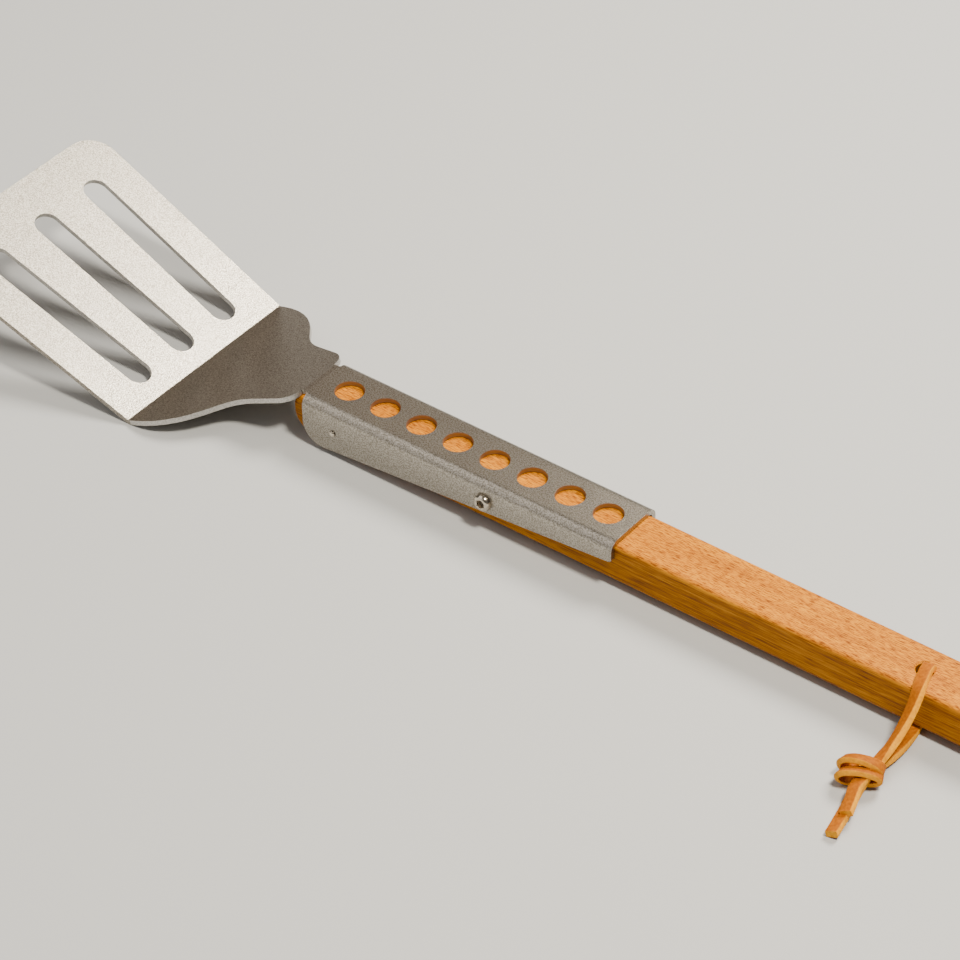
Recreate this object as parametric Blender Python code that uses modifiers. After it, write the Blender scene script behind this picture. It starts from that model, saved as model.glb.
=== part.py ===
"""Grill spatula: one folded stainless sheet (slotted blade, neck and handle cover), a wooden handle
that the cover holds with two side screws and two front pins, and a leather hanging thong.

Metres, +Z up. The spatula lies on z = 0: the heel of the blade touches the surface, the blade rises
from it towards -X, and the handle runs level towards +X, its rear end held up by the thong below it.
The left side is -Y. The origin is at the middle of the rigid pieces' box, on the surface. Every piece
is built with x measured from the cover's rear edge, and an empty moves them all to the origin.
"""

import math

import bmesh
import bpy
from mathutils import Matrix, Vector

# Sheet, shared by the blade, the neck and the cover
SHEET = 0.0020
GAP = 0.0003  # clearance between pieces that touch

# Blade
BLADE_LENGTH = 0.1066  # heel fold to tip
BLADE_TIP_WIDTH = 0.1002  # before its corners are rounded
BLADE_HEEL_WIDTH = 0.0894
TIP_CORNER = 0.0118
BLADE_RISE = math.radians(22.0)
SLOT_WIDTH = 0.0109
SLOT_FROM_HEEL = 0.0135  # heel fold to the centre of a slot's near end
SLOT_FROM_TIP = 0.0222  # tip to the centre of a slot's far end
SLOT_FROM_EDGE = 0.0207  # blade's edge to an outer slot's middle line, which follows it

# Neck
NECK_LENGTH = 0.0615  # heel fold to neck fold
NECK_SLOPE = math.radians(18.65)
HEEL_FOLD_INSIDE = 0.0012
NECK_FOLD_OUTSIDE = 0.0090
SHOULDER_FROM_HEEL = 0.0177  # where the blade's edge line ends
SHOULDER_RADIUS = 0.0350
WAIST_FROM_HEEL = 0.0364
WAIST_WIDTH = 0.0426
WAIST_RADIUS = 0.0180
NECK_END_WIDTH = 0.0322
NECK_END_RADIUS = 0.0077
RELIEF_WIDTH = 0.0034  # notch between the neck and each side of the cover
RELIEF_CORNER = 0.0008

# Cover over the handle
COVER_WIDTH = 0.0272
COVER_BEND_OUTSIDE = 0.0040
FLANGE_DEPTH_FRONT = 0.0203  # cover's top to the sides' lower edge, before its corners are rounded
FLANGE_DEPTH_REAR = 0.0083
FLANGE_FRONT_CORNER = 0.0087
FLANGE_REAR_CORNER = 0.0015
COVER_HOLE = 0.0115
COVER_HOLES = 8
COVER_HOLE_PITCH = 0.0170
HOLES_FROM_FRONT = 0.0121
HOLES_FROM_REAR = 0.0110

# Wooden handle
WOOD_LENGTH = 0.3072
WOOD_HEIGHT = 0.0164
WOOD_NOSE = 0.0066  # nose ahead of the cover's sides
WOOD_NOSE_LOWER = 0.0088
WOOD_NOSE_UPPER = 0.0056
WOOD_END_CORNER = 0.0045
WOOD_EDGE = 0.0021
THONG_HOLE = 0.0068
THONG_HOLE_FROM_END = 0.0360
THONG_HOLE_FLARE = 0.0006

# Side screws and front pins
SCREW_FROM_FRONT = 0.0850
SCREW_DEPTH = 0.0084  # cover's top to the screws' axis
SCREW_SHANK = 0.0040
SCREW_LENGTH = 0.0090  # shank below the head
SCREW_HEAD = 0.0072
SCREW_HEAD_HEIGHT = 0.0021
SCREW_SOCKET = 0.0032  # across flats
SCREW_SOCKET_DEPTH = 0.0012
PIN_FROM_FRONT = 0.0143
PIN_DEPTH = 0.0106
PIN_SHANK = 0.0018
PIN_LENGTH = 0.0080
PIN_HEAD = 0.0027
PIN_HEAD_HEIGHT = 0.0007

# Thong: routes with x from the thong hole's axis
THONG = 0.0024
UPPER_STRAND = (
    (0.0008, 0.0000, 0.0113),
    (0.0008, 0.0000, 0.0150),
    (0.0009, -0.0003, 0.0182),
    (0.0011, -0.0013, 0.0202),
    (0.0015, -0.0032, 0.0209),
    (0.0026, -0.0058, 0.0209),
    (0.0038, -0.0090, 0.0208),
    (0.0047, -0.0117, 0.0203),
    (0.0054, -0.0144, 0.0187),
    (0.0060, -0.0183, 0.0161),
    (0.0063, -0.0226, 0.0134),
    (0.0064, -0.0273, 0.0109),
    (0.0063, -0.0312, 0.0093),
    (0.0061, -0.0342, 0.0084),
)
LOWER_STRAND = (
    (0.0008, 0.0000, 0.0110),
    (0.0007, 0.0000, 0.0070),
    (0.0006, -0.0002, 0.0043),
    (0.0007, -0.0012, 0.0022),
    (0.0012, -0.0031, 0.0015),
    (0.0024, -0.0068, 0.0014),
    (0.0036, -0.0110, 0.0014),
    (0.0047, -0.0170, 0.0015),
    (0.0048, -0.0230, 0.0017),
    (0.0046, -0.0290, 0.0021),
    (0.0043, -0.0340, 0.0026),
)
UPPER_TAIL = (
    (0.0057, -0.0512, 0.0054),
    (0.0074, -0.0560, 0.0049),
    (0.0093, -0.0620, 0.0043),
)
LOWER_TAIL = (
    (0.0059, -0.0512, 0.0015),
    (0.0072, -0.0575, 0.0014),
    (0.0082, -0.0645, 0.0014),
    (0.0090, -0.0714, 0.0014),
)
KNOT_AT = (0.0025, -0.0428, 0.0051)
KNOT_SIZE = (0.0164, 0.0152, 0.0096)
KNOT_TURN = math.radians(33)

ARC_STEP = math.radians(9)
ROUND_SIDES = 32
WELD = 1e-6

# Places along the flat sheet, from the heel fold; the blade is on the negative side
NECK_FOLD_HALF = NECK_FOLD_OUTSIDE * NECK_SLOPE / 2
COVER_START = NECK_LENGTH + NECK_FOLD_HALF + GAP / 2
COVER_LENGTH = HOLES_FROM_FRONT + (COVER_HOLES - 1) * COVER_HOLE_PITCH + HOLES_FROM_REAR
COVER_END = COVER_START + COVER_LENGTH
HEEL_TURN = BLADE_RISE + NECK_SLOPE
HEEL_FOLD_LENGTH = HEEL_FOLD_INSIDE * HEEL_TURN
HEEL_START = COVER_END - HEEL_FOLD_LENGTH / 2  # from the cover's rear edge

# Places across it, from the middle line
BEND_START = COVER_WIDTH / 2 - COVER_BEND_OUTSIDE
BEND_LENGTH = COVER_BEND_OUTSIDE * math.pi / 2

# (length, turn) stretches of the folded sheet's outer face, from the cover's rear edge and from the
# middle line. A positive turn heads downwards
LENGTHWISE = (
    (COVER_END - NECK_LENGTH - NECK_FOLD_HALF, 0.0),
    (2 * NECK_FOLD_HALF, NECK_SLOPE),
    (NECK_LENGTH - NECK_FOLD_HALF - HEEL_FOLD_LENGTH / 2, 0.0),
    (HEEL_FOLD_LENGTH, -HEEL_TURN),
    (math.inf, 0.0),
)
CROSSWISE = (
    (BEND_START, 0.0),
    (BEND_LENGTH, math.pi / 2),
    (math.inf, 0.0),
)


def walk(distance, stretches):
    """How far out, how far up and at what heading a distance along the stretches ends."""
    out = up = heading = 0.0
    for length, turn in stretches:
        step = min(distance, length)
        if turn:
            radius = length / turn
            after = heading + step / radius
            out += radius * (math.sin(after) - math.sin(heading))
            up += radius * (math.cos(after) - math.cos(heading))
            heading = after
        else:
            out += step * math.cos(heading)
            up -= step * math.sin(heading)
        distance -= step
        if distance <= 0:
            break
    return out, up, heading


# The heel's underside touches the surface, which sets the height of everything above it
HEEL_CENTRE = walk(HEEL_START, LENGTHWISE)[1] + HEEL_FOLD_INSIDE * math.cos(NECK_SLOPE)
COVER_TOP = HEEL_FOLD_INSIDE + SHEET - HEEL_CENTRE
WOOD_TOP = COVER_TOP - SHEET - GAP
WOOD_BOTTOM = WOOD_TOP - WOOD_HEIGHT
WOOD_WIDTH = COVER_WIDTH - 2 * SHEET - 2 * GAP
WOOD_REAR = WOOD_LENGTH - WOOD_NOSE - COVER_LENGTH
WOOD_FRONT = WOOD_REAR - WOOD_LENGTH
THONG_HOLE_AT = WOOD_REAR - THONG_HOLE_FROM_END


def folded(along, across, depth):
    """Where a point of the flat sheet gets to; depth is 0 on the outer face, negative below it."""
    out, up, heading = walk(COVER_END - along, LENGTHWISE)
    if along < COVER_START - GAP or abs(across) < BEND_START:
        x = -out - depth * math.sin(heading)
        return Vector((x, across, COVER_TOP + up + depth * math.cos(heading)))
    side, up, heading = walk(abs(across), CROSSWISE)
    y = math.copysign(side + depth * math.sin(heading), across)
    return Vector((-out, y, COVER_TOP + up + depth * math.cos(heading)))


def fresh_collection(name):
    collection = bpy.data.collections.new(name)
    bpy.context.scene.collection.children.link(collection)
    return collection


def make_material(name, colour, metallic, roughness):
    material = bpy.data.materials.new(name)
    material.use_nodes = True
    shader = material.node_tree.nodes["Principled BSDF"]
    shader.inputs["Base Color"].default_value = (*colour, 1.0)
    shader.inputs["Metallic"].default_value = metallic
    shader.inputs["Roughness"].default_value = roughness
    return material


def add_object(name, data, collection, frame, material=None):
    thing = bpy.data.objects.new(name, data)
    collection.objects.link(thing)
    thing.parent = frame
    if material:
        data.materials.append(material)
    else:
        thing.hide_render = True
        thing.display_type = "WIRE"
    return thing


def arc(centre, radius, start, turn):
    """Points of an arc, its two ends included."""
    steps = max(1, math.ceil(abs(turn) / ARC_STEP))
    angles = [start + turn * i / steps for i in range(steps + 1)]
    return [(centre[0] + radius * math.cos(a), centre[1] + radius * math.sin(a)) for a in angles]


def circle(x, y, diameter):
    angles = [2 * math.pi * i / ROUND_SIDES for i in range(ROUND_SIDES)]
    return [(x + diameter / 2 * math.cos(a), y + diameter / 2 * math.sin(a)) for a in angles]


def stadium(near, far, width):
    """A long hole with round ends, between the centres of its ends."""
    heading = math.atan2(far[1] - near[1], far[0] - near[0])
    quarter = math.pi / 2
    far_end = arc(far, width / 2, heading - quarter, math.pi)
    return far_end + arc(near, width / 2, heading + quarter, math.pi)


def rounded(corners):
    """A closed outline through (x, y, radius) corners, each made round."""
    points = []
    for i, (x, y, radius) in enumerate(corners):
        here = Vector((x, y))
        before = (Vector(corners[i - 1][:2]) - here).normalized()
        after = (Vector(corners[(i + 1) % len(corners)][:2]) - here).normalized()
        half = before.angle(after) / 2
        centre = here + (before + after).normalized() * radius / math.sin(half)
        first = here + before * radius / math.tan(half) - centre
        last = here + after * radius / math.tan(half) - centre
        turn = math.atan2(first.cross(last), first.dot(last))
        points += arc(centre, radius, math.atan2(first.y, first.x), turn)
    return points


def flat_plate(outlines, thickness):
    """A bmesh of a flat plate centred on z = 0; outlines inside the first are holes."""
    curve = bpy.data.curves.new("outline", "CURVE")
    curve.dimensions = "2D"
    curve.fill_mode = "BOTH"
    curve.extrude = thickness / 2
    for outline in outlines:
        spline = curve.splines.new("POLY")
        spline.points.add(len(outline) - 1)
        for point, (x, y) in zip(spline.points, outline):
            point.co = (x, y, 0.0, 1.0)
        spline.use_cyclic_u = True
    draft = bpy.data.objects.new("outline", curve)
    bpy.context.scene.collection.objects.link(draft)
    graph = bpy.context.evaluated_depsgraph_get()
    mesh = bpy.data.meshes.new_from_object(draft.evaluated_get(graph))
    bpy.data.objects.remove(draft)
    body = bmesh.new()
    body.from_mesh(mesh)
    bpy.data.meshes.remove(mesh)
    bmesh.ops.remove_doubles(body, verts=body.verts, dist=WELD)
    return body


def finished_mesh(name, body):
    bmesh.ops.recalc_face_normals(body, faces=body.faces)
    mesh = bpy.data.meshes.new(name)
    body.to_mesh(mesh)
    body.free()
    mesh.shade_smooth()
    mesh.set_sharp_from_angle(angle=math.radians(35))
    return mesh


def blade_edge(along):
    """The blade's half width, before the shoulder and the tip's corners are rounded."""
    widening = (BLADE_TIP_WIDTH - BLADE_HEEL_WIDTH) / 2 / BLADE_LENGTH
    return BLADE_HEEL_WIDTH / 2 - widening * along


def side_line(depth):
    """How far across the flat sheet a depth below the cover's top is."""
    return BEND_START + BEND_LENGTH + depth - COVER_BEND_OUTSIDE


def sheet_outline():
    neck_end = COVER_START - RELIEF_WIDTH
    relief_end = BEND_START - GAP
    half = [
        (-BLADE_LENGTH, blade_edge(-BLADE_LENGTH), TIP_CORNER),
        (SHOULDER_FROM_HEEL, blade_edge(SHOULDER_FROM_HEEL), SHOULDER_RADIUS),
        (WAIST_FROM_HEEL, WAIST_WIDTH / 2, WAIST_RADIUS),
        (neck_end, NECK_END_WIDTH / 2, NECK_END_RADIUS),
        (neck_end, relief_end, RELIEF_CORNER),
        (COVER_START, relief_end, RELIEF_CORNER),
        (COVER_START, side_line(FLANGE_DEPTH_FRONT), FLANGE_FRONT_CORNER),
        (COVER_END, side_line(FLANGE_DEPTH_REAR), FLANGE_REAR_CORNER),
    ]
    return rounded(half + [(x, -y, radius) for x, y, radius in reversed(half)])


def sheet_holes():
    near = -SLOT_FROM_HEEL
    far = SLOT_FROM_TIP - BLADE_LENGTH
    holes = [stadium((near, 0.0), (far, 0.0), SLOT_WIDTH)]
    for side in (-1, 1):
        ends = [(along, side * (blade_edge(along) - SLOT_FROM_EDGE)) for along in (near, far)]
        holes.append(stadium(*ends, SLOT_WIDTH))
        screw_line = side * side_line(SCREW_DEPTH)
        holes.append(circle(COVER_START + SCREW_FROM_FRONT, screw_line, SCREW_SHANK + 2 * GAP))
        pin_line = side * side_line(PIN_DEPTH)
        holes.append(circle(COVER_START + PIN_FROM_FRONT, pin_line, PIN_SHANK + 2 * GAP))
    for i in range(COVER_HOLES):
        along = COVER_START + HOLES_FROM_FRONT + i * COVER_HOLE_PITCH
        holes.append(circle(along, 0.0, COVER_HOLE))
    return holes


def crease(body, start, length, steps, direction, beyond=-math.inf):
    """Adds edges where a fold starts and ends and evenly between, on the sheet beyond a place."""
    for i in range(steps + 1):
        faces = [face for face in body.faces if face.calc_center_median().x > beyond]
        edges = dict.fromkeys(edge for face in faces for edge in face.edges)
        verts = dict.fromkeys(vert for face in faces for vert in face.verts)
        bmesh.ops.bisect_plane(
            body,
            geom=[*faces, *edges, *verts],
            dist=WELD,
            plane_co=direction * (start + length * i / steps),
            plane_no=direction,
        )


def make_head(collection, frame, material):
    body = flat_plate([sheet_outline(), *sheet_holes()], SHEET)
    lengthwise = Vector((1.0, 0.0, 0.0))
    crosswise = Vector((0.0, 1.0, 0.0))
    crease(body, -HEEL_FOLD_LENGTH / 2, HEEL_FOLD_LENGTH, 6, lengthwise)
    crease(body, NECK_LENGTH - NECK_FOLD_HALF, 2 * NECK_FOLD_HALF, 4, lengthwise)
    for side in (-1, 1):
        crease(body, BEND_START, BEND_LENGTH, 8, side * crosswise, beyond=COVER_START - GAP)
    for vert in body.verts:
        vert.co = folded(vert.co.x, vert.co.y, vert.co.z - SHEET / 2)
    add_object("spatula_head", finished_mesh("spatula_head", body), collection, frame, material)


def cut(thing, cutter):
    modifier = thing.modifiers.new(cutter.name, "BOOLEAN")
    modifier.operation = "DIFFERENCE"
    modifier.object = cutter


def turned(name, profile, collection, frame, material=None):
    """A turned piece about its own Z, from a profile that runs down its outer side."""
    mesh = bpy.data.meshes.new(name)
    edges = [(i, i + 1) for i in range(len(profile) - 1)]
    mesh.from_pydata([(radius, 0.0, z) for radius, z in profile], edges, [])
    thing = add_object(name, mesh, collection, frame, material)
    screw = thing.modifiers.new("turn", "SCREW")
    screw.steps = screw.render_steps = ROUND_SIDES
    screw.use_merge_vertices = True
    screw.merge_threshold = 1e-5
    return thing


def thong_hole_profile():
    """A bore through the wood that flares at both faces."""
    radius = THONG_HOLE / 2
    wide = radius + 2 * THONG_HOLE_FLARE
    past = WOOD_HEIGHT / 2 + THONG_HOLE_FLARE
    eased = WOOD_HEIGHT / 2 - THONG_HOLE_FLARE
    upper = [(0.0, past), (wide, past), (radius, eased)]
    return upper + [(x, -z) for x, z in reversed(upper)]


def make_wood(collection, cutters, frame, material):
    corners = [
        (WOOD_FRONT, WOOD_BOTTOM, WOOD_NOSE_LOWER),
        (WOOD_REAR, WOOD_BOTTOM, WOOD_END_CORNER),
        (WOOD_REAR, WOOD_TOP, WOOD_END_CORNER),
        (WOOD_FRONT, WOOD_TOP, WOOD_NOSE_UPPER),
    ]
    body = flat_plate([rounded(corners)], WOOD_WIDTH)
    flat = math.radians(1)
    bmesh.ops.dissolve_limit(body, angle_limit=flat, verts=body.verts, edges=body.edges)
    body.transform(Matrix.Rotation(math.pi / 2, 4, "X"))
    wood = add_object("wood_handle", finished_mesh("wood_handle", body), collection, frame, material)
    ease = wood.modifiers.new("eased_edges", "BEVEL")
    ease.width = WOOD_EDGE
    ease.segments = 4
    ease.limit_method = "ANGLE"
    ease.angle_limit = math.radians(60)
    hole = turned("cut_thong_hole", thong_hole_profile(), cutters, frame)
    hole.location = (THONG_HOLE_AT, 0.0, (WOOD_TOP + WOOD_BOTTOM) / 2)
    cut(wood, hole)
    return wood


def domed_profile(head, height, shank, length):
    """A domed head above a shank, the head's underside at z = 0."""
    rim = height * 0.3
    rise = height - rim
    radius = (head * head / 4 + rise * rise) / (2 * rise)
    spread = math.asin(head / 2 / radius)
    angles = [spread * i / 5 for i in range(6)]
    dome = [(radius * math.sin(a), height - radius * (1 - math.cos(a))) for a in angles]
    return dome + [(head / 2, 0.0), (shank / 2, 0.0), (shank / 2, -length), (0.0, -length)]


def hex_cutter(name, collection, frame):
    body = bmesh.new()
    radius = SCREW_SOCKET / math.sqrt(3)
    depth = 2 * SCREW_SOCKET_DEPTH
    bmesh.ops.create_cone(body, cap_ends=True, segments=6, radius1=radius, radius2=radius, depth=depth)
    return add_object(name, finished_mesh(name, body), collection, frame)


def face_out(thing, from_front, side, depth, above):
    """Places a piece on the cover's side with its own +Z pointing out of that side."""
    y = side * (COVER_WIDTH / 2 + above)
    thing.location = (from_front - COVER_LENGTH, y, COVER_TOP - depth)
    thing.rotation_euler.x = -side * math.pi / 2


def fasten(name, place, head, height, shank, length, wood, groups, frame, material):
    """A screw or pin with its head on the cover's side, and its bore in the wood."""
    collection, cutters = groups
    piece = turned(name, domed_profile(head, height, shank, length), collection, frame, material)
    face_out(piece, *place, GAP)
    wide = shank / 2 + GAP
    deep = length + GAP
    profile = [(0.0, deep), (wide, deep), (wide, -deep), (0.0, -deep)]
    bore = turned(f"cut_bore_{name}", profile, cutters, frame)
    face_out(bore, *place, 0.0)
    cut(wood, bore)
    return piece


def make_fasteners(wood, groups, frame, material):
    for side, side_name in ((-1, "left"), (1, "right")):
        place = (SCREW_FROM_FRONT, side, SCREW_DEPTH)
        sizes = (SCREW_HEAD, SCREW_HEAD_HEIGHT, SCREW_SHANK, SCREW_LENGTH)
        screw = fasten(f"side_screw_{side_name}", place, *sizes, wood, groups, frame, material)
        socket = hex_cutter(f"cut_socket_{side_name}", groups[1], frame)
        face_out(socket, *place, GAP + SCREW_HEAD_HEIGHT)
        cut(screw, socket)
        place = (PIN_FROM_FRONT, side, PIN_DEPTH)
        sizes = (PIN_HEAD, PIN_HEAD_HEIGHT, PIN_SHANK, PIN_LENGTH)
        fasten(f"front_pin_{side_name}", place, *sizes, wood, groups, frame, material)


def smooth_route(points, spacing):
    """Evenly spaced points on a smooth curve through the route's own points."""
    ends = [2 * points[0] - points[1], *points, 2 * points[-1] - points[-2]]
    fine = []
    for before, here, after, beyond in zip(ends, ends[1:], ends[2:], ends[3:]):
        pull = after - before
        bend = 2 * before - 5 * here + 4 * after - beyond
        twist = 3 * here - before - 3 * after + beyond
        steps = [i / 20 for i in range(20)]
        fine += [here + 0.5 * (pull * t + bend * t**2 + twist * t**3) for t in steps]
    fine.append(points[-1])
    reach = [0.0]
    for start, end in zip(fine, fine[1:]):
        reach.append(reach[-1] + (end - start).length)
    count = max(2, round(reach[-1] / spacing))
    spaced = []
    for i in range(count + 1):
        wanted = reach[-1] * i / count
        after = next(j for j in range(1, len(reach)) if reach[j] >= wanted - WELD)
        share = (wanted - reach[after - 1]) / (reach[after] - reach[after - 1])
        spaced.append(fine[after - 1].lerp(fine[after], share))
    return spaced


def make_strand(name, route, collection, frame, material):
    points = smooth_route([Vector(point) for point in route], 2 * THONG)
    curve = bpy.data.curves.new(name, "CURVE")
    curve.dimensions = "3D"
    curve.bevel_depth = THONG / 2
    curve.bevel_resolution = 2
    curve.use_fill_caps = True
    spline = curve.splines.new("POLY")
    spline.points.add(len(points) - 1)
    for slot, point in zip(spline.points, points):
        slot.co = (*point, 1.0)
    strand = add_object(name, curve, collection, frame, material)
    strand.location.x = THONG_HOLE_AT


def make_thong(collection, frame, material):
    make_strand("thong_upper_strand", UPPER_STRAND, collection, frame, material)
    make_strand("thong_lower_strand", LOWER_STRAND, collection, frame, material)
    make_strand("thong_upper_tail", UPPER_TAIL, collection, frame, material)
    make_strand("thong_lower_tail", LOWER_TAIL, collection, frame, material)
    body = bmesh.new()
    bmesh.ops.create_uvsphere(body, u_segments=24, v_segments=14, radius=0.5)
    bmesh.ops.scale(body, vec=KNOT_SIZE, verts=body.verts)
    knot = add_object("thong_knot", finished_mesh("thong_knot", body), collection, frame, material)
    knot.location = Vector(KNOT_AT) + Vector((THONG_HOLE_AT, 0.0, 0.0))
    knot.rotation_euler.z = KNOT_TURN


def main():
    for thing in list(bpy.data.objects):
        bpy.data.objects.remove(thing)
    spatula = fresh_collection("grill_spatula")
    cutters = fresh_collection("cutters")
    stainless = make_material("stainless", (0.60, 0.58, 0.55), 1.0, 0.38)
    beech = make_material("beech", (0.72, 0.42, 0.18), 0.0, 0.55)
    bright_steel = make_material("bright_steel", (0.72, 0.70, 0.68), 1.0, 0.2)
    leather = make_material("leather", (0.70, 0.33, 0.05), 0.0, 0.6)

    frame = bpy.data.objects.new("spatula_frame", None)
    spatula.objects.link(frame)
    tip = folded(-BLADE_LENGTH, 0.0, -SHEET).x
    frame.location.x = -(tip + WOOD_REAR) / 2

    make_head(spatula, frame, stainless)
    wood = make_wood(spatula, cutters, frame, beech)
    make_fasteners(wood, (spatula, cutters), frame, bright_steel)
    make_thong(spatula, frame, leather)


main()
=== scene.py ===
# %% [markdown]
# # A grill spatula in steel, wood and leather
#
# The spatula is one folded sheet of stainless steel that runs from the slotted blade, up the neck
# and over the wooden handle. Screws and pins hold the sheet to the wood, and a leather lace hangs
# from the handle's end. The imported model gives every size and place, so the first cell loads it and
# gives a helper that reads any piece's box.

# %% Load the imported model
import math

import bmesh
import bpy
from mathutils import Matrix, Vector, noise


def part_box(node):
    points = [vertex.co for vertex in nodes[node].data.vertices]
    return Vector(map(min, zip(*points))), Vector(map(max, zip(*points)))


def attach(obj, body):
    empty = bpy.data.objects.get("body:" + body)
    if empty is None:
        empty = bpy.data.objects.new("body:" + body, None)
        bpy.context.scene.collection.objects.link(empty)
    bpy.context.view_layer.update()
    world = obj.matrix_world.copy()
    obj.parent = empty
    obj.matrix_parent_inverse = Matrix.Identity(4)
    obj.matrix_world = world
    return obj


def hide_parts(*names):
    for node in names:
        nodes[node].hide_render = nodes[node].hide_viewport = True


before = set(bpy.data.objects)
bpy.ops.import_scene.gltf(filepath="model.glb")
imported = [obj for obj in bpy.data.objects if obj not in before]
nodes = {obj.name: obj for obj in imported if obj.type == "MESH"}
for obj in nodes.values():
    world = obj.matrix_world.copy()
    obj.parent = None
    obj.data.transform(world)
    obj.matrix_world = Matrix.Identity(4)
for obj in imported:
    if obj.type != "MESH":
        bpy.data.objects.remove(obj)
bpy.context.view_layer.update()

print("nodes:", ", ".join(sorted(nodes)))

# %% [markdown]
# ## Camera
#
# A long lens from about 1.4 m keeps the handle's edges almost parallel. The camera looks down on
# the spatula from the handle's left side, over its rear end, and aims beside the middle of the
# cover.

# %% Camera
CAMERA_AT = Vector((0.6714, -0.8570, 0.9036))
CAMERA_AIM = Vector((0.0122, -0.0125, 0.0216))
CAMERA_ROLL = math.radians(-0.845)
LENS_MM = 143.9

camera = bpy.data.objects.new("camera", bpy.data.cameras.new("camera"))
bpy.context.scene.collection.objects.link(camera)
camera.data.lens = LENS_MM
camera.data.clip_end = 20
look = (CAMERA_AIM - CAMERA_AT).to_track_quat("-Z", "Y").to_matrix().to_4x4()
camera.matrix_world = Matrix.Translation(CAMERA_AT) @ look @ Matrix.Rotation(CAMERA_ROLL, 4, "Z")
bpy.context.scene.camera = camera
print("camera distance", round((CAMERA_AIM - CAMERA_AT).length, 3), "m")

# %% [markdown]
# ## From edited mesh to piece
#
# Every piece ends the same way, so the ending is written once. The edited mesh becomes an object,
# shaded smooth apart from its real edges. Those stay where they are, and are no longer drawn.

# %% Turn an edited mesh into a piece
def finish_piece(body, name, sharp_degrees, replaced):
    mesh = bpy.data.meshes.new(name)
    body.to_mesh(mesh)
    body.free()
    mesh.shade_smooth()
    mesh.set_sharp_from_angle(angle=math.radians(sharp_degrees))
    piece = bpy.data.objects.new(name, mesh)
    bpy.context.scene.collection.objects.link(piece)
    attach(piece, "root")
    if replaced:
        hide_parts(*replaced)
    print(f"{name}: {len(mesh.polygons)} faces")
    return piece


# %% [markdown]
# ## The lace
#
# The thong is a flat leather lace, doubled through the hole in the handle. A round tube would hide
# what makes it leather: the dyed flat faces and the pale cut edges. So each strand is a rounded
# rectangle swept along a smooth curve. At each point of the route a second direction says which way
# the lace's face looks, and the section turns with it.
#
# A route holds few points, so that it can be read and bent by hand. This first helper draws a
# Catmull-Rom curve, which passes through every point, and then spaces the curve's points evenly.

# %% A smooth line through a route
FINE_STEPS = 24  # between two points of a route, before the spacing is made even


def smooth_line(points, spacing):
    """Evenly spaced points on a Catmull-Rom curve, each with its place in the route's numbering."""
    ends = [2 * points[0] - points[1], *points, 2 * points[-1] - points[-2]]
    fine = []
    for i in range(len(points) - 1):
        before, here, after, beyond = ends[i:i + 4]
        for step in range(FINE_STEPS):
            t = step / FINE_STEPS
            bend = 2 * before - 5 * here + 4 * after - beyond
            twist = 3 * here - before - 3 * after + beyond
            place = here + 0.5 * ((after - before) * t + bend * t**2 + twist * t**3)
            fine.append((place, i + t))
    fine.append((points[-1], len(points) - 1.0))

    reach = [0.0]  # distance along the curve at each fine point
    for (start, _), (end, _) in zip(fine, fine[1:]):
        reach.append(reach[-1] + (end - start).length)
    count = max(2, round(reach[-1] / spacing))

    line = []
    j = 1
    for i in range(count + 1):
        wanted = reach[-1] * i / count
        while j < len(reach) - 1 and reach[j] < wanted:
            j += 1
        share = (wanted - reach[j - 1]) / (reach[j] - reach[j - 1])
        place = fine[j - 1][0].lerp(fine[j][0], share)
        line.append((place, fine[j - 1][1] + (fine[j][1] - fine[j - 1][1]) * share))
    return line


print("curve steps between two points:", FINE_STEPS)

# %% [markdown]
# The lace is cut from a hide, so its section is a rectangle with barely rounded corners. Each point
# of the section also carries a number: 0 on the dyed faces and 1 on the cut edges, where the raw
# hide shows. The material reads it later.

# %% The lace's section
LACE_WIDTH = 0.0044
LACE_THICK = 0.0027
LACE_CORNER = 0.0004
CORNER_POINTS = 4


def lace_section(width, thick):
    """Points round a rounded rectangle, each with how much of the cut edge it is."""
    points = []
    for sx, sy, start in ((1, 1, 0), (-1, 1, 90), (-1, -1, 180), (1, -1, 270)):
        centre = Vector((sx * (width / 2 - LACE_CORNER), sy * (thick / 2 - LACE_CORNER)))
        for i in range(CORNER_POINTS):
            angle = math.radians(start + 90 * i / (CORNER_POINTS - 1))
            spoke = Vector((math.cos(angle), math.sin(angle)))
            points.append((centre + spoke * LACE_CORNER, abs(spoke.x) ** 2))
    return points


print("points round the lace:", len(lace_section(LACE_WIDTH, LACE_THICK)))

# %% [markdown]
# The sweep sets one ring of points at each step along the line. The ring's thin side follows the
# direction that the route gives, made square to the line, and a little noise keeps the leather from
# looking extruded. Both ends are closed with an inset face, so that the cut end keeps a crisp rim.

# %% A lace along a route
LACE_STEP = 0.0007
UNEVEN = 0.03  # share of the section that the noise moves
UNEVEN_ALONG = 900  # the noise's cycles per metre
UNEVEN_ACROSS = 400
END_RIM = 0.00025
LACE_SHARP = 50  # degrees


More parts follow.
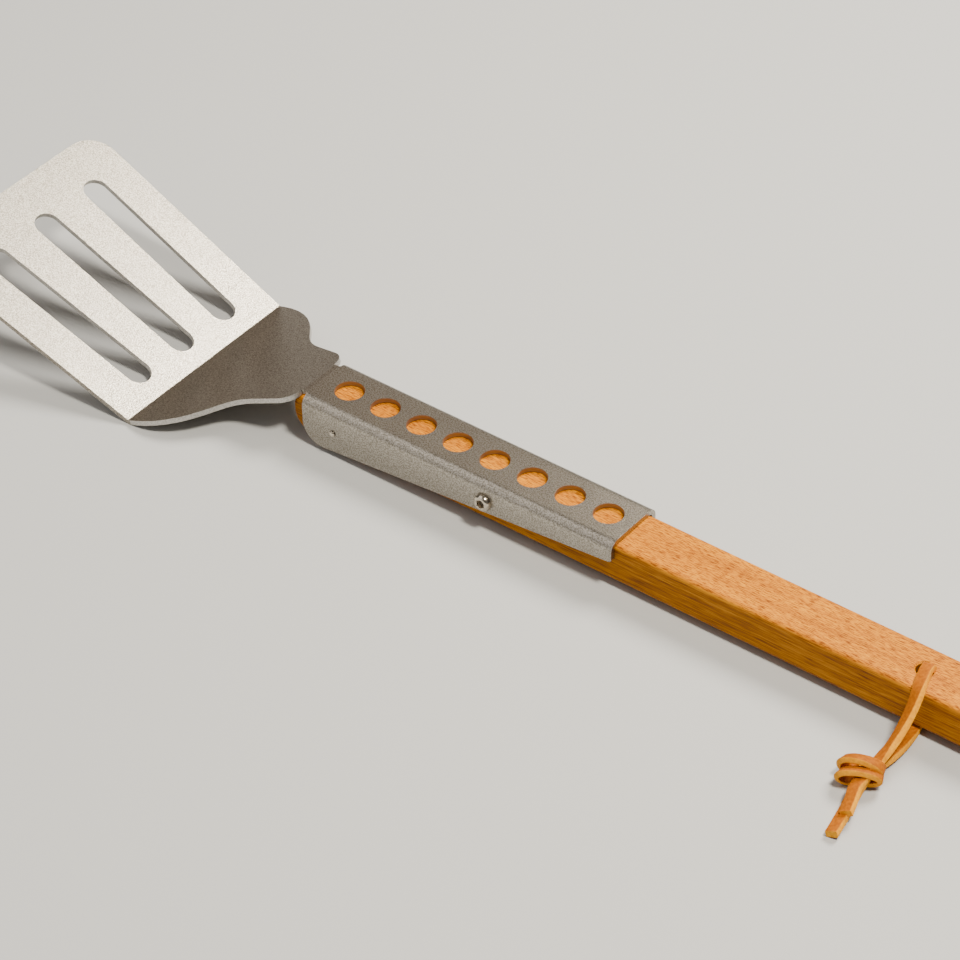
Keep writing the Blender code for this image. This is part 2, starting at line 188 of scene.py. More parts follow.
def lace_mesh(name, route, replaced):
    """route holds (place, way its face looks, thickness factor) at each point."""
    points = [Vector(place) for place, _, _ in route]
    line = smooth_line(points, LACE_STEP)
    body = bmesh.new()
    cut = body.verts.layers.float.new("cut_edge")
    rings = []
    for i, (place, at) in enumerate(line):
        ahead = line[min(i + 1, len(line) - 1)][0] - line[max(i - 1, 0)][0]
        low = min(int(at), len(route) - 2)
        share = at - low
        here, after = (Vector(route[k][1]).normalized() for k in (low, low + 1))
        face = here.lerp(after, share)
        thin = route[low][2] + (route[low + 1][2] - route[low][2]) * share
        ahead.normalize()
        face = (face - ahead * face.dot(ahead)).normalized()
        across = ahead.cross(face)
        ring = []
        for spot, edge in lace_section(LACE_WIDTH, LACE_THICK * thin):
            where = place * UNEVEN_ALONG + across * spot.x * UNEVEN_ACROSS
            uneven = 1 + UNEVEN * noise.noise(where)
            vert = body.verts.new(place + across * spot.x * uneven + face * spot.y * uneven)
            vert[cut] = edge
            ring.append(vert)
        rings.append(ring)
    for ring, after in zip(rings, rings[1:]):
        for i in range(len(ring)):
            j = (i + 1) % len(ring)
            body.faces.new((ring[i], ring[j], after[j], after[i]))
    for ring in (rings[0], rings[-1]):
        cap = body.faces.new(ring)
        bmesh.ops.inset_individual(body, faces=[cap], thickness=END_RIM)
        for vert in cap.verts:
            vert[cut] = 1.0
    bmesh.ops.recalc_face_normals(body, faces=body.faces)
    piece = finish_piece(body, name, LACE_SHARP, replaced)
    return piece, [place for place, _ in line]


def line_length(line):
    return sum((b - a).length for a, b in zip(line, line[1:]))


print("lace", LACE_WIDTH * 1000, "mm wide,", LACE_THICK * 1000, "mm thick")

# %% [markdown]
# The lace goes through the hole once. Its upper half comes out at the top and bends over the
# handle's left edge. Its lower half comes out underneath, where the handle rests on it and presses
# it thinner. Both halves run through the knot and end in a tail. Places are counted from the hole's
# axis, and each point also says which way the face looks and how much of its thickness is left.

# %% Routes of the two halves
THONG_HOLE_FROM_END = 0.0360
HOLE_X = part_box("wood_handle")[1].x - THONG_HOLE_FROM_END


def from_hole(route):
    return [((x + HOLE_X, y, z), face, thin) for (x, y, z), face, thin in route]


UPPER_ROUTE = from_hole([
    ((0.0009, 0.0004, 0.0113), (0.0, 1.0, 0.0), 0.90),
    ((0.0011, 0.0013, 0.0150), (0.0, 1.0, 0.0), 0.90),
    ((0.0012, 0.0014, 0.0184), (-0.05, 0.9, 0.3), 0.95),
    ((0.0014, 0.0001, 0.0207), (-0.12, 0.5, 0.8), 1.00),
    ((0.0019, -0.0026, 0.0213), (-0.20, 0.1, 1.0), 1.00),
    ((0.0027, -0.0057, 0.0210), (-0.24, 0.0, 1.0), 1.00),
    ((0.0038, -0.0090, 0.0208), (-0.30, -0.1, 1.0), 1.00),
    ((0.0047, -0.0117, 0.0203), (-0.40, -0.3, 0.9), 1.00),
    ((0.0054, -0.0144, 0.0187), (-0.50, -0.5, 0.8), 1.00),
    ((0.0060, -0.0183, 0.0161), (-0.60, -0.5, 0.8), 1.00),
    ((0.0063, -0.0226, 0.0134), (-0.70, -0.4, 0.8), 1.00),
    ((0.0064, -0.0273, 0.0109), (-0.75, -0.3, 0.8), 1.00),
    ((0.0063, -0.0312, 0.0093), (-0.70, -0.2, 0.8), 0.95),
    ((0.0061, -0.0342, 0.0084), (-0.50, -0.1, 0.9), 0.90),
    ((0.0057, -0.0385, 0.0070), (-0.20, 0.0, 1.0), 0.78),
    ((0.0054, -0.0428, 0.0063), (0.00, 0.0, 1.0), 0.76),
    ((0.0054, -0.0470, 0.0060), (-0.10, 0.0, 1.0), 0.85),
    ((0.0057, -0.0512, 0.0054), (-0.30, 0.0, 1.0), 1.00),
    ((0.0074, -0.0560, 0.0049), (-0.45, 0.0, 1.0), 1.00),
    ((0.0093, -0.0620, 0.0043), (-0.45, 0.0, 1.0), 1.00),
])
LOWER_ROUTE = from_hole([
    ((0.0009, 0.0004, 0.0110), (0.0, 1.0, 0.0), 0.90),
    ((0.0007, 0.0002, 0.0070), (0.0, 1.0, 0.0), 0.90),
    ((0.0006, -0.0002, 0.0043), (0.0, 1.0, -0.3), 0.90),
    ((0.0007, -0.0012, 0.0022), (0.0, 0.6, -0.8), 0.85),
    ((0.0012, -0.0031, 0.0015), (0.0, 0.1, -1.0), 0.84),
    ((0.0024, -0.0068, 0.0014), (0.0, 0.0, -1.0), 0.84),
    ((0.0038, -0.0110, 0.0014), (0.05, 0.0, -1.0), 0.86),
    ((0.0046, -0.0160, 0.0016), (0.15, 0.0, -1.0), 0.95),
    ((0.0051, -0.0220, 0.0019), (0.25, 0.0, -1.0), 0.95),
    ((0.0050, -0.0280, 0.0022), (0.25, 0.0, -1.0), 0.95),
    ((0.0045, -0.0335, 0.0026), (0.10, 0.0, -1.0), 0.90),
    ((0.0044, -0.0385, 0.0035), (0.00, 0.0, -1.0), 0.78),
    ((0.0046, -0.0428, 0.0039), (0.00, 0.0, -1.0), 0.76),
    ((0.0048, -0.0470, 0.0030), (0.10, 0.0, -1.0), 0.85),
    ((0.0054, -0.0512, 0.0022), (0.25, 0.0, -1.0), 1.00),
    ((0.0068, -0.0575, 0.0020), (0.30, 0.0, -1.0), 1.00),
    ((0.0083, -0.0645, 0.0020), (0.30, 0.0, -1.0), 1.00),
    ((0.0095, -0.0710, 0.0020), (0.30, 0.0, -1.0), 1.00),
])
upper_lace, upper_line = lace_mesh(
    "lace_upper_half", UPPER_ROUTE, ["thong_upper_strand", "thong_upper_tail"]
)
lower_lace, lower_line = lace_mesh(
    "lace_lower_half", LOWER_ROUTE, ["thong_lower_strand", "thong_lower_tail"]
)

# %% [markdown]
# The overhand knot shows as two turns of lace, side by side, wrapped over the strands. They touch
# at the right. At the left, where the lace folds back, they part and roll over, so that their cut
# edges show. Each turn is the same lace swept round a flattened oval, and its ends dive into the
# knot.

# %% The knot's two turns
KNOT_AT = Vector((HOLE_X + 0.0025, -0.0428, 0.0050))
KNOT_LEAN = math.radians(22)
KNOT_WIDE = 0.0068  # centre to the middle of the lace, sideways
TURN_POINTS = 29
TURN_START, TURN_SWEEP = math.radians(-80), math.radians(340)
TURN_THIN = 0.84  # the pull of the knot presses the lace thinner
APART = 0.0018  # each turn's middle line from the knot's, at the right
PARTING = 0.0003  # more than that at the left
SWELL = 0.10  # share by which a turn stands taller at the left
TWIST = 0.55  # how far the lace rolls back at the left
DIVE = 9  # one part in this many of the turn dives, at each end
DIVE_DEPTH = 0.5  # share of the oval's size that the end dives by


def turn_route(side, heading, tall, lift):
    """side is 1 for the turn next to the strands and -1 for the one next to the tails."""
    sideways = Vector((math.cos(heading), math.sin(heading), 0.0))
    back = Vector((-math.sin(heading), math.cos(heading), 0.0))
    route = []
    for i in range(TURN_POINTS):
        share = i / (TURN_POINTS - 1)
        angle = TURN_START + TURN_SWEEP * share
        ends = max(0.0, 1 - DIVE * share) ** 2 + max(0.0, DIVE * share - (DIVE - 1)) ** 2
        tuck = 1 - DIVE_DEPTH * ends
        left = (1 - math.cos(angle)) / 2  # 0 at the right end of the oval and 1 at the left
        rise = tall * (1 + SWELL * left) * tuck * math.sin(angle)
        away = side * (APART + PARTING * left) - math.tan(KNOT_LEAN) * rise
        place = KNOT_AT + sideways * KNOT_WIDE * tuck * math.cos(angle) + back * away
        place.z += rise + lift
        face = sideways * math.cos(angle) / KNOT_WIDE + Vector((0, 0, math.sin(angle) / tall))
        route.append((place, face.normalized() + back * TWIST * left, TURN_THIN))
    return route


back_turn, back_line = lace_mesh(
    "lace_knot_back_turn", turn_route(1, math.radians(19), 0.0045, 0.0008), ["thong_knot"]
)
front_turn, front_line = lace_mesh(
    "lace_knot_front_turn", turn_route(-1, math.radians(27), 0.0034, -0.0002), []
)
print("lace in the turns:", round(line_length(back_line) + line_length(front_line), 3), "m")

# %% [markdown]
# This cell reads the wooden bar's box, which the marks on drilled walls use further down, and
# prints where the cords leave the hole.

wood_low, wood_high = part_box("wood_handle")
print("cords leave the hole", round(HOLE_X, 4), "m along, at its top and bottom")

# %% [markdown]
# ## Finer metal and wood
#
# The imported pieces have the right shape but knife-sharp edges. Real sheet is deburred, and it is
# the small round along an edge that catches the light. Each piece is therefore welded, its flat
# faces are merged, and a narrow bevel is run along the sharp edges. On the steel the cut faces are
# marked, since the cutter leaves them brighter than the sheet's own surface.

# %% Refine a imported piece
WELD = 2e-6
FLAT = math.radians(1.2)
SHARP = math.radians(50)
RIM_SHARE = 0.2  # a cut face has at least this share of its outline on sharp edges
SMOOTH_TO = 38  # degrees
FLAT_WEIGHT = 80  # how strongly large faces hold the shading flat


def refined(node, name, round_off, segments, mark_cut=False):
    """round_off is how far the bevel reaches from the edge, in metres."""
    body = bmesh.new()
    body.from_mesh(nodes[node].data)
    bmesh.ops.remove_doubles(body, verts=body.verts, dist=WELD)
    bmesh.ops.dissolve_limit(body, angle_limit=FLAT, verts=body.verts, edges=body.edges)
    bmesh.ops.recalc_face_normals(body, faces=body.faces)
    cut = body.faces.layers.float.new("cut_edge")
    sharp = {e for e in body.edges if len(e.link_faces) == 2 and e.calc_face_angle() > SHARP}
    if mark_cut:
        for face in body.faces:
            rim = sum(e.calc_length() for e in face.edges if e in sharp)
            if len(face.verts) == 4 and rim > RIM_SHARE * face.calc_perimeter():
                face[cut] = 1.0
    made = bmesh.ops.bevel(
        body,
        geom=[e for e in body.edges if e in sharp],
        offset=round_off,
        offset_type="OFFSET",
        segments=segments,
        profile=0.5,
        affect="EDGES",
        clamp_overlap=True,
    )
    if mark_cut:
        for face in made["faces"]:
            face[cut] = 1.0
    piece = finish_piece(body, name, SMOOTH_TO, [node])
    weighted = piece.modifiers.new("flat faces stay flat", "WEIGHTED_NORMAL")
    weighted.weight = FLAT_WEIGHT
    weighted.keep_sharp = True
    return piece


print("edges sharper than", round(math.degrees(SHARP)), "degrees get a bevel")

# %% [markdown]
# The head is the largest piece: blade, neck and cover in one sheet. Its edges are rounded by less
# than half a millimetre, in three steps, so that the highlight along them runs soft. The walls of
# the cover's eight round holes are marked too, so that the material paints them darker: painted
# shade for the shadow inside the holes.

# %% The steel head
STEEL_ROUND = 0.00042
head = refined("spatula_head", "steel_head", STEEL_ROUND, 3, mark_cut=True)
low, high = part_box("spatula_head")
print("head:", [round((high - low)[i] * 1000, 1) for i in range(3)], "mm")


def mark_bored(piece, is_wall):
    """Marks the faces of drilled walls, where the material paints a darker colour as painted shade.
    """
    mark = piece.data.attributes.new("bore", "FLOAT", "FACE")
    for face in piece.data.polygons:
        mark.data[face.index].value = 1.0 if is_wall(face.center, face.normal) else 0.0
    print("bored faces on", piece.name + ":", sum(int(item.value) for item in mark.data))


COVER_HOLE_REACH = 0.0085  # past the walls of the cover's round holes, short of its sides
COVER_END_FACE = 0.002  # leaves out the cut across the cover's rear end
cover_rear = high.x


def in_cover_hole(at, normal):
    over_wood = wood_low.x < at.x < cover_rear - COVER_END_FACE and at.z > wood_high.z
    return over_wood and abs(at.y) < COVER_HOLE_REACH and abs(normal.z) < 0.2


mark_bored(head, in_cover_hole)

# %% [markdown]
# The wooden bar already has eased edges, so it only needs a breath of rounding where the hole
# breaks its faces. The drilled wall's faces are marked, and the material paints them darker as
# painted shade for the shadow inside the hole.

# %% The wooden bar
WOOD_ROUND = 0.00012
wood = refined("wood_handle", "wood_bar", WOOD_ROUND, 1)
BORE_REACH = 0.0038  # from the hole's axis to just past its wall


def in_thong_hole(at, normal):
    return math.hypot(at.x - HOLE_X, at.y) < BORE_REACH and abs(normal.z) < 0.3


mark_bored(wood, in_thong_hole)

# %% [markdown]
# A button-head socket screw goes through each side of the cover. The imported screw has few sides,
# and the head is where the light lands, so it is turned again here with 48 sides. Rings of points
# climb the shank, cross the seat, follow the dome and drop into a hexagon socket.

# %% Rings for a socket screw
SCREW_SIDES = 48
SCREW_SHANK = 0.0020  # radius
SCREW_HEAD = 0.0036  # radius
SCREW_HEIGHT = 0.0021
SOCKET_HALF = 0.0016  # half the width across the flats


def screw_ring(body, at, side, radius, height, flats=False):
    """A circle, or a hexagon with this inner radius, at a height above the head's seat."""
    ring = []
    for i in range(SCREW_SIDES):
        angle = 2 * math.pi * i / SCREW_SIDES
        off_flat = (angle + math.pi / 6) % (math.pi / 3) - math.pi / 6
        reach = radius / math.cos(off_flat) if flats else radius
        spot = Vector((reach * math.cos(angle), side * height, reach * math.sin(angle)))
        ring.append(body.verts.new(at + spot))
    return ring


print("screw head", round(2000 * SCREW_HEAD, 1), "mm across,", SCREW_SIDES, "sides")

# %% [markdown]
# The dome is a quarter of an ellipse from the rim up to the flat round the socket. The screw's
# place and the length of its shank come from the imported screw's own box. Quads join each ring to
# the next.

# %% The socket screws
SCREW_SHARP = 32  # degrees
SEAT_EDGE = 0.0001
DOME_STEPS = 8
DOME_FLAT = 0.0023  # radius where the dome ends
DOME_FOOT = 0.0005  # height where the dome starts
SOCKET_MOUTH = 0.0020  # radius of the round mouth, which leads into the hexagon
SOCKET_TOP, SOCKET_FLOOR = 0.0019, 0.0006  # heights of the hexagon's ends
SOCKET_POINT = (0.0006, 0.0004)  # radius and height of the drill's mark in the floor


def screw(node, name, side):
    low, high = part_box(node)
    outer = low.y if side < 0 else high.y
    at = Vector(((low.x + high.x) / 2, outer - side * SCREW_HEIGHT, (low.z + high.z) / 2))
    length = (high.y - low.y) - SCREW_HEIGHT
    body = bmesh.new()
    rings = [
        screw_ring(body, at, side, SCREW_SHANK, -length),
        screw_ring(body, at, side, SCREW_SHANK, 0.0),
        screw_ring(body, at, side, SCREW_HEAD - SEAT_EDGE, 0.0),
        screw_ring(body, at, side, SCREW_HEAD, SEAT_EDGE),
    ]
    for i in range(DOME_STEPS + 1):
        lean = math.radians(90 * i / DOME_STEPS)
        radius = DOME_FLAT + (SCREW_HEAD - DOME_FLAT) * math.cos(lean)
        height = DOME_FOOT + (SCREW_HEIGHT - DOME_FOOT) * math.sin(lean)
        rings.append(screw_ring(body, at, side, radius, height))
    rings.append(screw_ring(body, at, side, SOCKET_MOUTH, SCREW_HEIGHT))
    rings.append(screw_ring(body, at, side, SOCKET_HALF, SOCKET_TOP, flats=True))
    rings.append(screw_ring(body, at, side, SOCKET_HALF, SOCKET_FLOOR, flats=True))
    rings.append(screw_ring(body, at, side, *SOCKET_POINT))
    for ring, after in zip(rings, rings[1:]):
        for i in range(SCREW_SIDES):
            j = (i + 1) % SCREW_SIDES
            body.faces.new((ring[i], ring[j], after[j], after[i]))
    body.faces.new(rings[0])
    body.faces.new(rings[-1])
    bmesh.ops.recalc_face_normals(body, faces=body.faces)
    return finish_piece(body, name, SCREW_SHARP, [node])


screws = [
    screw("side_screw_left", "socket_screw_left", -1),
    screw("side_screw_right", "socket_screw_right", 1),
]

# %% [markdown]
# The front pins are small round nails, almost flush with the steel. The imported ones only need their
# rim rounded.

# %% The front pins
PIN_ROUND = 0.00006
pins = [
    refined(f"front_pin_{side}", f"pin_{side}", PIN_ROUND, 1)
    for side in ("left", "right")
]

# %% [markdown]
# ## Finishes
#
# Each finish is mixed from noise in the piece's own coordinates, so it stays with the piece however
# it is turned. Coordinates are in metres, so a scale is in cycles per metre: 1000 gives about one
# fleck for each millimetre. These helpers keep the recipes below short.

# %% Node helpers
def new_material(name):
    material = bpy.data.materials.new(name)
    material.use_nodes = True
    tree = material.node_tree
    return material, tree, tree.nodes["Principled BSDF"]


def add(tree, kind, **settings):
    """A new node. Each setting goes to the node's property, or else to its input of that name."""
    node = tree.nodes.new(kind)
    for key, value in settings.items():
        if key in node.bl_rna.properties:
            setattr(node, key, value)
        else:
            node.inputs[key.replace("_", " ")].default_value = value
    return node


def join(tree, source, target):
    tree.links.new(source, target)


def ramp(tree, source, stops):
    node = tree.nodes.new("ShaderNodeValToRGB")
    elements = node.color_ramp.elements
    while len(elements) > 1:
        elements.remove(elements[-1])
    elements[0].position, elements[0].color = stops[0][0], (*stops[0][1], 1)
    for position, colour in stops[1:]:
        elements.new(position).color = (*colour, 1)
    join(tree, source, node.inputs["Fac"])
    return node.outputs["Color"]


def give(material, *pieces):
    for piece in pieces:
        piece.data.materials.clear()
        piece.data.materials.append(material)
    print(material.name, "on", ", ".join(piece.name for piece in pieces))


# %% [markdown]
# Steel, wood and leather all need noise that is stretched its own way: round flecks on steel, long
# streaks in wood. That is one effect with different numbers, so it is a node group, built once. Its
# sockets are made on the group's interface.

# %% A group for stretched grain
def new_group(name, inputs, outputs):
    group = bpy.data.node_groups.new(name, "ShaderNodeTree")
    for direction, sockets in (("INPUT", inputs), ("OUTPUT", outputs)):
        for label, kind in sockets.items():
            group.interface.new_socket(label, in_out=direction, socket_type="NodeSocket" + kind)
    return group, group.nodes.new("NodeGroupInput"), group.nodes.new("NodeGroupOutput")


grain_group, start, end = new_group(
    "stretched_grain",
    {"Cycles": "Vector", "Detail": "Float", "Fine Share": "Float"},
    {"Value": "Float"},
)
place = add(grain_group, "ShaderNodeTexCoord")
stretch = add(grain_group, "ShaderNodeVectorMath", operation="MULTIPLY")
flecks = add(grain_group, "ShaderNodeTexNoise", Scale=1.0)
join(grain_group, place.outputs["Object"], stretch.inputs[0])
join(grain_group, start.outputs["Cycles"], stretch.inputs[1])
join(grain_group, stretch.outputs["Vector"], flecks.inputs["Vector"])
join(grain_group, start.outputs["Detail"], flecks.inputs["Detail"])
join(grain_group, start.outputs["Fine Share"], flecks.inputs["Roughness"])
join(grain_group, flecks.outputs["Fac"], end.inputs["Value"])


def grain(tree, cycles, detail=2.0, fine_share=0.6):
    node = add(tree, "ShaderNodeGroup", node_tree=grain_group)
    node.inputs["Cycles"].default_value = cycles
    node.inputs["Detail"].default_value = detail
    node.inputs["Fine Share"].default_value = fine_share
    return node.outputs["Value"]


print("group", grain_group.name, "takes", [item.name for item in start.outputs if item.name])

# %% [markdown]
# Cut places look different from the face beside them, and drilled walls are painted darker as
# shade. The meshes already carry two marks: `cut_edge` is 1 on a cut, on steel and leather, and
# `bore` is 1 on a drilled wall, on steel and wood. A group for each mark lays a second colour over
# the face's own and gives the mask; on drilled walls that second colour is painted shade.

# %% Groups for marked places
def mark_group(name, attribute):
    group, start, end = new_group(
        name,
        {"Face Colour": "Color", "Marked Colour": "Color"},
        {"Colour": "Color", "Mask": "Float"},
    )
    mark = add(group, "ShaderNodeAttribute", attribute_name=attribute)
    laid = add(group, "ShaderNodeMix", data_type="RGBA")
    join(group, mark.outputs["Fac"], laid.inputs["Factor"])
    join(group, start.outputs["Face Colour"], laid.inputs["A"])
    join(group, start.outputs["Marked Colour"], laid.inputs["B"])
    join(group, laid.outputs["Result"], end.inputs["Colour"])
    join(group, mark.outputs["Fac"], end.inputs["Mask"])
    print("group", group.name, "reads", attribute)
    return group


cut_group = mark_group("cut_edge_colour", "cut_edge")
# The second group lays painted shade on drilled walls.
bore_shade_group = mark_group("bored_wall_shade", "bore")


def marked(tree, group, face, colour):
    """The face colour, with another colour, or a linked one, where the group's mark is 1."""
    node = add(tree, "ShaderNodeGroup", node_tree=group)
    join(tree, face, node.inputs["Face Colour"])
    if isinstance(colour, bpy.types.NodeSocket):
        join(tree, colour, node.inputs["Marked Colour"])
    else:
        node.inputs["Marked Colour"].default_value = (*colour, 1)
    return node.outputs["Colour"], node.outputs["Mask"]


# %% [markdown]
# ### Stainless steel
#
# The sheet is tumbled, not polished: under a lamp it glitters in fine points. Fine noise drives
# both the metal's tint and a bump, so each fleck has its own brightness and its own tilt. A slow
# noise changes the roughness from place to place, as handling does. The cut edge is cleaner metal
# and a little rougher. The walls of the cover's holes are painted darker: painted shade for the
# shadow inside them.

# %% Stainless steel
STEEL_FLECK = (1900, 1900, 1900)
STEEL_CLOUD = (60, 60, 60)
# Painted shade: the dark colour laid on the cover's hole walls, for the shadow inside them.
HOLE_WALL_SHADE = (0.30, 0.27, 0.27)
CUT_ROUGHER = 0.16


def make_stainless():
    material, tree, shader = new_material("stainless_satin")
    shader.inputs["Metallic"].default_value = 1.0
    fleck = grain(tree, STEEL_FLECK, 2.0, 0.7)
    face = ramp(tree, fleck, [(0.41, (0.215, 0.191, 0.158)), (0.59, (0.465, 0.429, 0.376))])
    edge = ramp(tree, fleck, [(0.40, (0.42, 0.40, 0.37)), (0.60, (0.62, 0.60, 0.57))])
    with_edge, cut = marked(tree, cut_group, face, edge)
    # Painted shade over the walls of the cover's holes.
    with_wall, _ = marked(tree, bore_shade_group, with_edge, HOLE_WALL_SHADE)
    join(tree, with_wall, shader.inputs["Base Color"])
    rough = add(tree, "ShaderNodeMapRange", To_Min=0.26, To_Max=0.34)
    join(tree, grain(tree, STEEL_CLOUD, 3.0), rough.inputs["Value"])
    duller = add(tree, "ShaderNodeMath", operation="MULTIPLY_ADD")
    duller.inputs[1].default_value = CUT_ROUGHER
    join(tree, cut, duller.inputs[0])
    join(tree, rough.outputs["Result"], duller.inputs[2])
    join(tree, duller.outputs["Value"], shader.inputs["Roughness"])
    bump = add(tree, "ShaderNodeBump", Strength=1.0, Distance=0.00010)
    join(tree, fleck, bump.inputs["Height"])
    join(tree, bump.outputs["Normal"], shader.inputs["Normal"])
    return material


give(make_stainless(), head)

# %% [markdown]
# ### Oiled beech
#
# The bar is sawn along the grain. On its upper face, beech shows short dark flecks. On its sides,
# the same grain is cut the other way and shows as long thin lines. So there are two patterns over
# one warm base, and the direction that the surface faces picks between them.

# %% Oiled beech
BEECH_BAND = (11, 210, 620)
BEECH_FLECK = (330, 2900, 1300)
BEECH_LINE = (95, 400, 2600)
# Painted shade: the dark colour laid on the thong hole's wall, for the shadow inside the hole.
BORE_SHADE = (0.20, 0.065, 0.004)


def facing_up(tree):
    """1 where the surface looks up or down, and 0 on the sides."""
    place = add(tree, "ShaderNodeTexCoord")
    parts = add(tree, "ShaderNodeSeparateXYZ")
    up = add(tree, "ShaderNodeMath", operation="ABSOLUTE")
    mask = add(tree, "ShaderNodeMapRange", From_Min=0.45, From_Max=0.75)
    join(tree, place.outputs["Normal"], parts.inputs["Vector"])
    join(tree, parts.outputs["Z"], up.inputs[0])
    join(tree, up.outputs["Value"], mask.inputs["Value"])
    return mask.outputs["Result"]


def blend(tree, factor, first, second, how="MIX"):
    node = add(tree, "ShaderNodeMix", data_type="RGBA", blend_type=how)
    if isinstance(factor, bpy.types.NodeSocket):
        join(tree, factor, node.inputs["Factor"])
    else:
        node.inputs["Factor"].default_value = factor
    join(tree, first, node.inputs["A"])
    join(tree, second, node.inputs["B"])
    return node.outputs["Result"]


def make_beech():
    material, tree, shader = new_material("oiled_beech")
    band = grain(tree, BEECH_BAND, 4.0)
    fleck = grain(tree, BEECH_FLECK)
    line = grain(tree, BEECH_LINE, 3.0, 0.65)
    base = ramp(
        tree,
        band,
        [(0.30, (0.56, 0.190, 0.0)), (0.50, (0.72, 0.265, 0.0)), (0.70, (0.85, 0.340, 0.0))],
    )
    flecks = ramp(
        tree,
        fleck,
        [(0.40, (0.86, 0.84, 0.80)), (0.52, (0.68, 0.57, 0.40)), (0.62, (0.28, 0.18, 0.07))],
    )
    lines = ramp(
        tree,
        line,
        [(0.40, (0.62, 0.62, 0.62)), (0.54, (0.42, 0.37, 0.30)), (0.66, (0.20, 0.14, 0.08))],
    )
    marks = blend(tree, facing_up(tree), lines, flecks)
    grained = blend(tree, 1.0, base, marks, "MULTIPLY")
    # Painted shade on the thong hole's wall.
    colour, _ = marked(tree, bore_shade_group, grained, BORE_SHADE)
    join(tree, colour, shader.inputs["Base Color"])
    rough = add(tree, "ShaderNodeMapRange", To_Min=0.48, To_Max=0.66)
    join(tree, band, rough.inputs["Value"])
    join(tree, rough.outputs["Result"], shader.inputs["Roughness"])
    shader.inputs["Specular IOR Level"].default_value = 0.14
    bump = add(tree, "ShaderNodeBump", Strength=0.25, Distance=0.0001)
    join(tree, fleck, bump.inputs["Height"])
    join(tree, bump.outputs["Normal"], shader.inputs["Normal"])
    return material


give(make_beech(), wood)

# %% [markdown]
# ### Tan leather
#
# The faces are dyed a deep orange tan, and the cut edges stay pale. One noise gives the grain: it
# moves the tint a little and lifts the surface a little, because a flat tint would look like
# plastic.

# %% Tan leather
LEATHER_GRAIN = (900, 900, 900)


def make_leather():
    material, tree, shader = new_material("tan_leather")
    pores = grain(tree, LEATHER_GRAIN, 3.0, 0.5)
    face = ramp(tree, pores, [(0.3, (0.26, 0.064, 0.0)), (0.7, (0.40, 0.112, 0.0))])
    edge = ramp(tree, pores, [(0.3, (0.66, 0.25, 0.0)), (0.7, (0.85, 0.38, 0.01))])
    colour, _ = marked(tree, cut_group, face, edge)
    join(tree, colour, shader.inputs["Base Color"])
    rough = add(tree, "ShaderNodeMapRange", To_Min=0.55, To_Max=0.70)
    join(tree, pores, rough.inputs["Value"])
    join(tree, rough.outputs["Result"], shader.inputs["Roughness"])
    shader.inputs["Specular IOR Level"].default_value = 0.12
    bump = add(tree, "ShaderNodeBump", Strength=0.3, Distance=0.0001)
    join(tree, pores, bump.inputs["Height"])
    join(tree, bump.outputs["Normal"], shader.inputs["Normal"])
    return material


give(make_leather(), upper_lace, lower_lace, back_turn, front_turn)

# %% [markdown]
# ### Bright steel
#
# Screws and pins are plain plated steel, shinier than the sheet. Small smears in tint and roughness
# keep the highlights from looking like chrome.

# %% Bright steel
SMEAR = (900, 900, 900)


def make_bright_steel():
    material, tree, shader = new_material("plated_steel")
    shader.inputs["Metallic"].default_value = 1.0
    smear = grain(tree, SMEAR)
    tone = ramp(tree, smear, [(0.35, (0.40, 0.35, 0.28)), (0.65, (0.64, 0.58, 0.49))])
    join(tree, tone, shader.inputs["Base Color"])
    rough = add(tree, "ShaderNodeMapRange", To_Min=0.10, To_Max=0.24)
    join(tree, smear, rough.inputs["Value"])
    join(tree, rough.outputs["Result"], shader.inputs["Roughness"])
    return material


give(make_bright_steel(), *screws, *pins)

# %% [markdown]
# ## Floor and light
#
# The spatula lies on a plain pale floor.

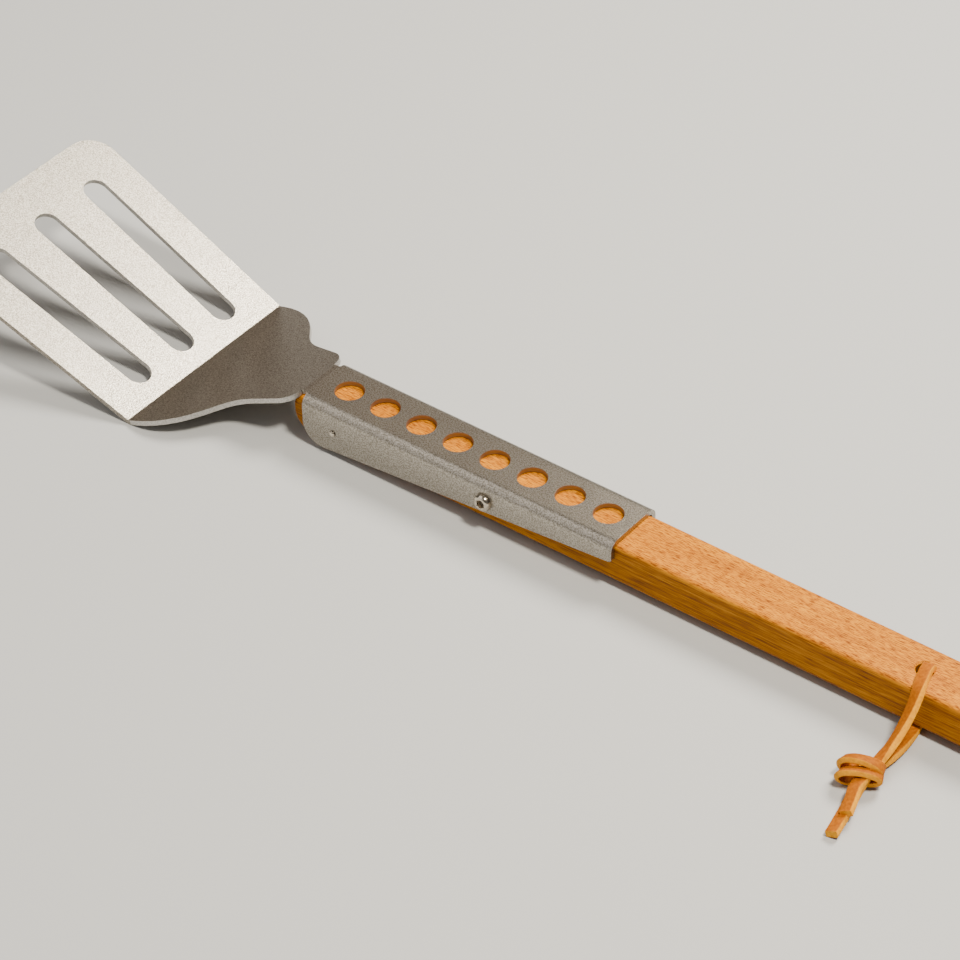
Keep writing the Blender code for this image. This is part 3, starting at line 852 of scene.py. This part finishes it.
# %% Floor
FLOOR_HALF = 4.0
floor_mesh = bpy.data.meshes.new("floor")
corners = [(x * FLOOR_HALF, y * FLOOR_HALF, 0) for x, y in ((-1, -1), (1, -1), (1, 1), (-1, 1))]
floor_mesh.from_pydata(corners, [], [(0, 1, 2, 3)])
floor = bpy.data.objects.new("floor", floor_mesh)
bpy.context.scene.collection.objects.link(floor)
paint, _, floor_shader = new_material("floor_paint")
floor_shader.inputs["Base Color"].default_value = (0.47, 0.475, 0.48, 1)
floor_shader.inputs["Roughness"].default_value = 0.8
floor_mesh.materials.append(paint)
print("floor", 2 * FLOOR_HALF, "m wide")

# %% [markdown]
# Bare steel shows what stands around it, so the lights are placed for their reflections. The key is
# small and high over the handle's end, and draws the slots' shadows. The soft box stands where the
# blade mirrors it into the camera, which makes the blade the brightest face. The bend along the
# cover mirrors the wide front and ceiling lights, and a warm card behind tints the neck. A dim
# world lifts the shadows.

# %% Lights
LIGHTS = [
    # name, place, aim, width, watts, colour
    ("key", (0.670, -0.110, 1.34), (0.0, 0.0, 0.0), 0.25, 31, (1.0, 0.93, 0.79)),
    ("soft box", (0.157, 0.81, 1.05), (-0.05, 0.0, 0.0), 0.6, 31, (1.0, 0.94, 0.82)),
    ("front", (-0.72, -1.15, 0.80), (0.0, 0.0, 0.0), 1.4, 4.6, (1.0, 0.95, 0.88)),
    ("ceiling", (-0.64, -0.32, 1.15), (0.0, 0.0, 0.0), 0.9, 2.8, (1.0, 0.95, 0.88)),
    ("warm card", (-1.25, 1.20, 0.90), (0.0, 0.0, 0.0), 1.6, 1.4, (1.0, 0.70, 0.48)),
]
WORLD_COLOUR = (0.86, 0.82, 0.76, 1)
WORLD_STRENGTH = 0.22

for name, place, aim, width, watts, colour in LIGHTS:
    light = bpy.data.objects.new(name, bpy.data.lights.new(name, "AREA"))
    light.data.shape = "DISK"
    light.data.size = width
    light.data.energy = watts
    light.data.color = colour
    bpy.context.scene.collection.objects.link(light)
    turn = (Vector(aim) - Vector(place)).to_track_quat("-Z", "Y").to_matrix().to_4x4()
    light.matrix_world = Matrix.Translation(place) @ turn
    print("light", name, watts, "W")

world = bpy.data.worlds.new("studio")
bpy.context.scene.world = world
world.use_nodes = True
background = world.node_tree.nodes["Background"]
background.inputs["Color"].default_value = WORLD_COLOUR
background.inputs["Strength"].default_value = WORLD_STRENGTH
